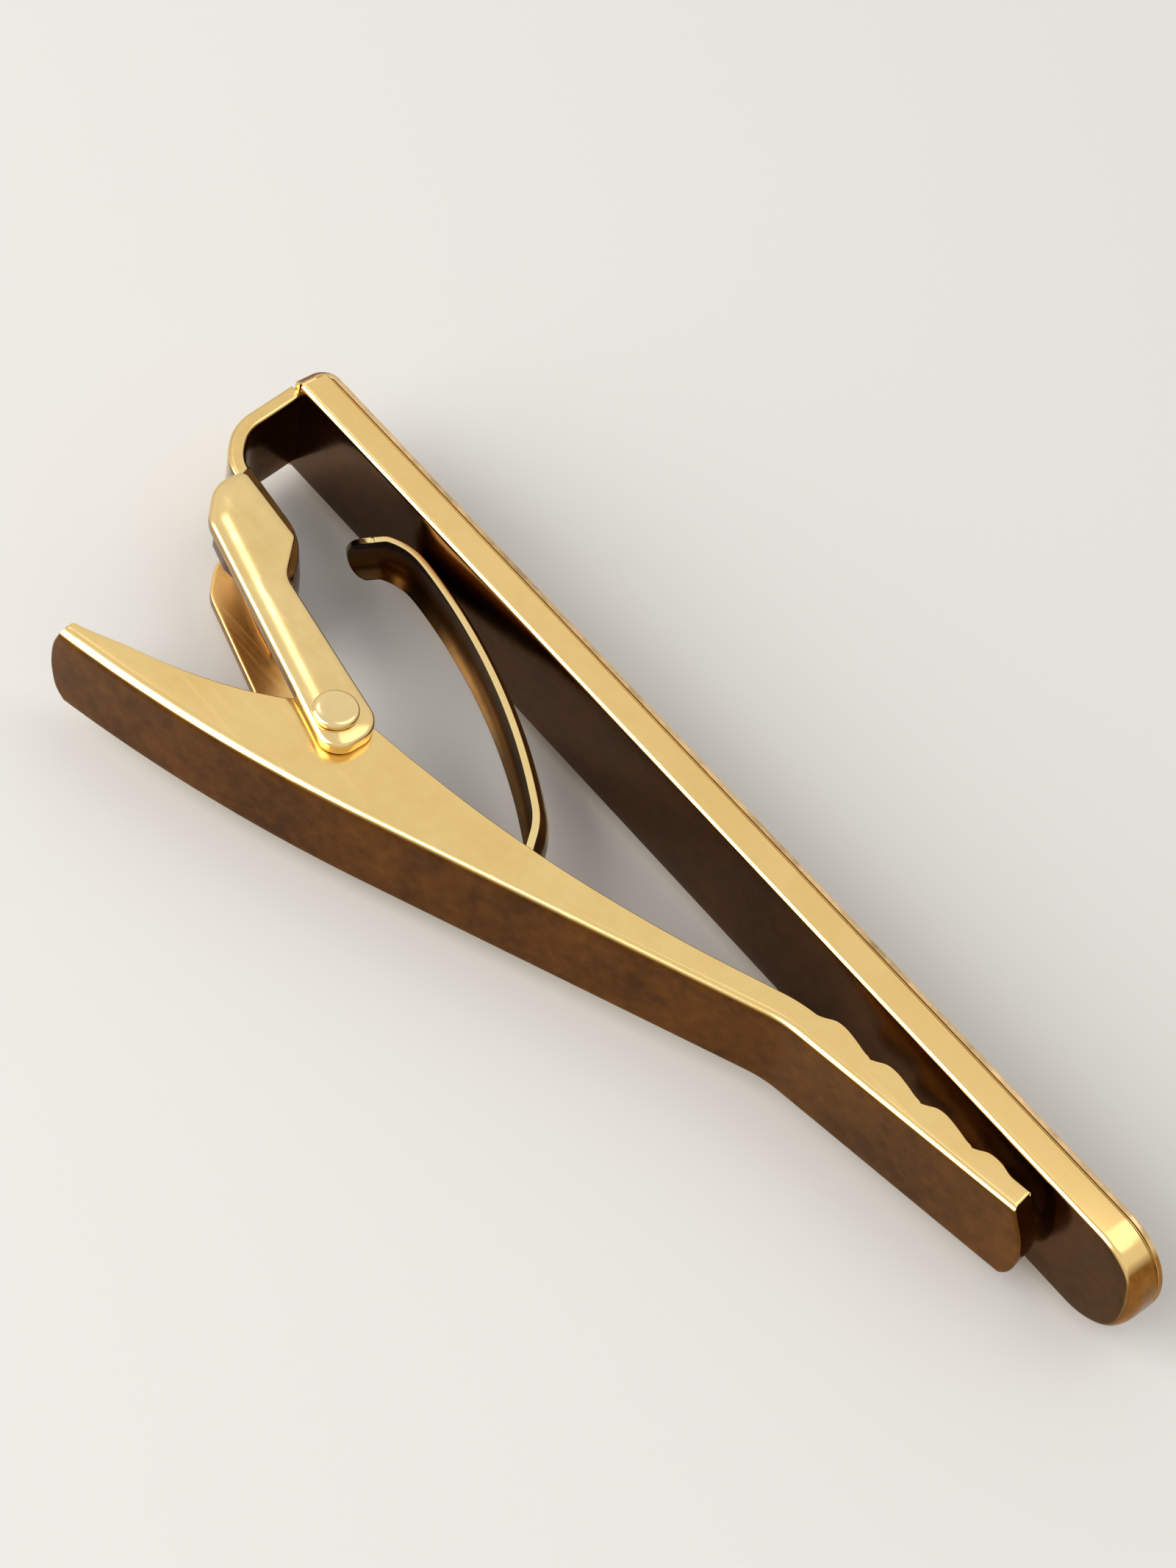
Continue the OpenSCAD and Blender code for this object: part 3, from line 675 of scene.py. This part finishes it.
def jaw_half(tall, run, sign):
    """Half of the channel's section, on the near side where sign is 1.

    Its outer points and its inner ones both run from the middle to the wall's top.
    """
    fold = min(FAR_FOLD if sign < 0 else THUMB_FOLD + (TIP_FOLD - THUMB_FOLD) * run / jaw_len, tall * 0.55)
    rim = min(RIM, tall * 0.16)
    inner_fold = min(INNER_FOLD, max(0.01, (tall - SHEET) * 0.5))
    outer = [(u, 0.0) for u in even(0.0, half_jaw - fold, 10)]
    outer += [(half_jaw - fold + a, b) for a, b in quarter(fold, 8)[1:]]
    outer += [(half_jaw, h) for h in even(fold, tall - rim, 5)[1:]]
    outer += [(half_jaw - b, tall - rim + a) for a, b in quarter(rim, 4)[1:]] + [(half_jaw - SHEET / 2, tall)]
    wall = half_jaw - SHEET
    top = max(tall - rim, SHEET)
    inner = [(u, SHEET) for u in even(0.0, wall - inner_fold, 10)]
    inner += [(wall - inner_fold + a, SHEET + b) for a, b in quarter(inner_fold, 8)[1:]]
    inner += [(wall, h) for h in even(min(SHEET + inner_fold, top), top, 5)[1:]]
    inner += [(wall + b, max(tall - rim + a, SHEET)) for a, b in quarter(rim, 4)[1:]]
    return outer, inner + [(half_jaw - SHEET / 2, max(tall, SHEET))]


def jaw_point(row, i, sign, across, share):
    """A point of the channel's skin, at a share of the way from its thumb end to its tip.

    Both ends follow their own outlines, their edges are rounded over, and the tip's floor and
    walls meet in the low wall that closes it.
    """
    u = sign * across
    first = THUMB_BULGE * smooth(THUMB_SHARES, u / half_jaw)
    last = jaw_len - TIP_SKEW * smooth(TIP_SHARES, u / half_jaw)
    run = first + (last - first) * share
    near_tip = last - run < run - first
    gap = min(run - first, last - run)
    tall = max(wall_height(run), SHEET)
    h = jaw_half(tall, run, sign)[row][i][1]
    if near_tip and gap < END_WALL_THICK + TIP_RISE:
        tall += (END_WALL - tall) * eased(min(1.0, (END_WALL_THICK + TIP_RISE - gap) / TIP_RISE))
        h = jaw_half(tall, run, sign)[row][i][1]
        if row == 1:
            lift = held((END_WALL_THICK + LIFT_RUN - gap) / LIFT_RUN)
            h = max(h, SHEET + (END_WALL - SHEET) * eased(lift))
    low = min(rim_drop(gap, END_EDGE), tall * 0.25)
    high = min(rim_drop(gap, END_EDGE if near_tip else THUMB_EDGE), tall * 0.6)
    h = min(max(h, low), tall - high)
    width = sign * min(abs(u), half_jaw - low * 0.8)
    return at(*off(walk(jaw_start, jaw_turns, run), h), MIDDLE + width)


def jaw_sections():
    """The channel's sections, closer together where its ends are rounded and its end wall rises."""
    round_in = [(edge - a) / jaw_len for edge in (END_EDGE, THUMB_EDGE) for a, b in quarter(edge, 7)[1:]]
    wall_in = [(END_WALL_THICK + d) / jaw_len for d in END_WALL_STEPS]
    shares = set(round_in + [1 - x for x in round_in + wall_in] + [0.0, 1.0] + even(0.008, 0.976, SECTIONS))
    sections = []
    for share in sorted(shares):
        run = share * jaw_len
        sides = [(sign, jaw_half(wall_height(run), run, sign)) for sign in (-1, 1)]
        rows = []
        for row in (0, 1):
            made = []
            for sign, half in sides:
                points = list(enumerate(half[row]))
                made += [jaw_point(row, i, sign, across, share)
                         for i, (across, _) in (points if sign > 0 else points[:0:-1])]
            rows.append(made)
        sections.append(rows)
    return sections


jaw = piece("jaw_lever_piece", *loft(jaw_sections()), smooth_angle=50)
# Painted shade: dark brown on the faces turned to -y, +x and +x-y.
jaw.data.materials.append(gold("jaw_gold", (0.88, 0.63, 0.26), (0.79, 0.54, 0.20),
                               [(way, onset, (0.112, 0.040, 0.0045)) for way, onset in
                                (((0, -1, 0), 0.74), ((1, 0.1, 0), 0.55), ((0.76, -0.65, 0), 0.7))],
                               wear=0.8))
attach(jaw, "jaw")
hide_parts("jaw_lever")

# The leaf spring: thin hardened strip, cambered like a gutter. Its foot is folded back and
# soldered inside the jaw, its knee slides on the bar's back, and its free end bends away
# into a rounded tongue.
SPRING_LOW, SPRING_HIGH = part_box("leaf_spring")
SPRING_THICK, CAMBER, KNEE_X, KNEE_GAP = 0.35, 0.6, 10.6, 0.05
half_spring = (SPRING_HIGH.z - SPRING_LOW.z) / 2 / MM
# Each bend of the strip as its radius and its degrees: at the knee, along the leaf and at the
# dip towards the jaw, then the other way as the hook and the curl of the free end
KNEE, LEAF, DIP, HOOK, CURL = (8.6, -6), (34.6, -24), (4.9, -22), (3.6, 35), (1.3, 30)
TONGUE_LEN, TONGUE_ROUND, SPRING_EDGE = 1.5, 1.1, 0.04
knee_turns = [arc(*KNEE), arc(*LEAF), arc(*DIP)]
knee_run = sum(length for length, turn in knee_turns)
free_turns = [arc(*HOOK), arc(*CURL), (TONGUE_LEN, 0)]
free_run = sum(length for length, turn in free_turns)
dip_end = walk((KNEE_X, -KNEE_GAP, 0.0), knee_turns, knee_run)
shank = walk(jaw_start, jaw_turns, THUMB_LEN + neck_len)
FOLD_BACK, SPRING_FOOT = 1.1, 6.0
fold_turn = math.degrees(dip_end[2] - shank[2]) + 180
fold = arc(FOLD_BACK, -fold_turn)
tested = walk(dip_end, [fold], fold[0])
above = (tested[1] - shank[1]) * math.cos(shank[2]) - (tested[0] - shank[0]) * math.sin(shank[2])
drop = (above - SHEET) / math.sin(shank[2] - dip_end[2])
free_end = walk((KNEE_X, -KNEE_GAP, math.pi), free_turns, free_run)
spring_start = (free_end[0], free_end[1], free_end[2] - math.pi)
spring_turns = [(length, -turn) for length, turn in reversed(free_turns)] + knee_turns
spring_turns += [(drop, 0), fold, (SPRING_FOOT, 0)]
fold_from = free_run + knee_run + drop


def spring_camber(run):
    """The camber runs out along the fold, so that the foot lies flat."""
    return CAMBER * (1 - held((run - fold_from) / fold[0]))


spring = swept("leaf_spring_piece", spring_start, spring_turns,
               stations_of(spring_turns, 0.16, SPRING_EDGE),
               flat_half(half_spring, SPRING_THICK, SPRING_EDGE, 14), SPRING_EDGE, spring_camber,
               TONGUE_ROUND)
# Painted shade: dark brown on the strip's faces turned to -y and to +x-y.
spring.data.materials.append(gold("spring_gold", (0.88, 0.68, 0.32), (0.78, 0.55, 0.22),
                                  [(way, 0.3, (0.045, 0.017, 0.0035))
                                   for way in ((0, -1, 0), (0.9, -0.42, 0))],
                                  rough=0.2, cloud=0.6, wear=0.3))
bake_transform(spring)
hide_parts("leaf_spring")

# The table that the clip lies on: a wide sheet of pale matt paper, a hair below the clip's
# lowest point. Three soft lamps and a pale room light it.
TABLE_LEVEL = -0.00002
table_data = bpy.data.meshes.new("table_top")
reach = 1.5
table_corners = ((-reach, -reach), (reach, -reach), (reach, reach), (-reach, reach))
table_data.from_pydata([(x, y, TABLE_LEVEL) for x, y in table_corners], [], [(0, 1, 2, 3)])
table = bpy.data.objects.new("table_top", table_data)
bpy.context.scene.collection.objects.link(table)
paper = bpy.data.materials.new("pale_paper")
paper.use_nodes = True
sheet = next(n for n in paper.node_tree.nodes if n.type == "BSDF_PRINCIPLED")
sheet.inputs["Base Color"].default_value = (0.50, 0.49, 0.475, 1)
sheet.inputs["Roughness"].default_value = 0.9
table_data.materials.append(paper)


def lamp(name, spot, size, power, tint):
    """A soft square lamp at a point, turned to the clip."""
    data = bpy.data.lights.new(name, "AREA")
    data.shape, data.size, data.size_y = "RECTANGLE", size[0], size[1]
    data.energy, data.color = power, tint
    made = bpy.data.objects.new(name, data)
    made.location = spot
    made.rotation_euler = (-Vector(spot)).to_track_quat("-Z", "Y").to_euler()
    bpy.context.scene.collection.objects.link(made)


lamp("window", (-0.2, -0.41, 0.25), (0.6, 0.5), 5.2, (1.0, 0.98, 0.95))
lamp("small_window", (-0.342, 0.12, 0.48), (0.075, 0.075), 0.05, (1.0, 0.98, 0.95))
lamp("ceiling", (0.1, 0.25, 0.6), (0.4, 0.4), 0.5, (1.0, 0.97, 0.93))

room = bpy.data.worlds.new("pale_room")
bpy.context.scene.world = room
room.use_nodes = True
sky = next(n for n in room.node_tree.nodes if n.type == "BACKGROUND")
aim = Wire(room.node_tree, room.node_tree.nodes.new("ShaderNodeTexCoord").outputs["Generated"])
up = aim.node("ShaderNodeSeparateXYZ", {0: aim}, out=2)
height = up * 0.5 + 0.5
shade = height.node("ShaderNodeValToRGB", {0: height}, stops=[
    (0.0, (0.30, 0.29, 0.28, 1)), (0.5, (0.62, 0.61, 0.60, 1)), (0.8, (0.92, 0.91, 0.89, 1)),
    (1.0, (0.85, 0.85, 0.85, 1))])
room.node_tree.links.new(sky.inputs["Color"], shade.socket)
sky.inputs["Strength"].default_value = 1.0

# The camera stands where the photograph was taken from, as worked out from the bar's corners
# and the rivet. Its focal length is in pixels of the photograph, which is 2133 of them high.
PHOTO_HEIGHT, FOCAL_PIXELS, SENSOR = 2133, 4700, 36.0
lens = bpy.data.cameras.new("camera")
lens.sensor_width, lens.lens = SENSOR, FOCAL_PIXELS / PHOTO_HEIGHT * SENSOR
lens.clip_start, lens.clip_end = 0.005, 20.0
camera = bpy.data.objects.new("camera", lens)
to_right = Vector((0.6272, 0.7633, 0.1548))
upward = Vector((-0.6766, 0.4355, 0.5938))
ahead = Vector((-0.3858, 0.4772, -0.7896))
turn = Matrix((to_right, upward, -ahead)).transposed().to_4x4()
camera.matrix_world = Matrix.Translation(at(85.226, -76.661, 127.102)) @ turn
bpy.context.scene.collection.objects.link(camera)
bpy.context.scene.camera = camera
bpy.context.scene.view_settings.view_transform = "Standard"
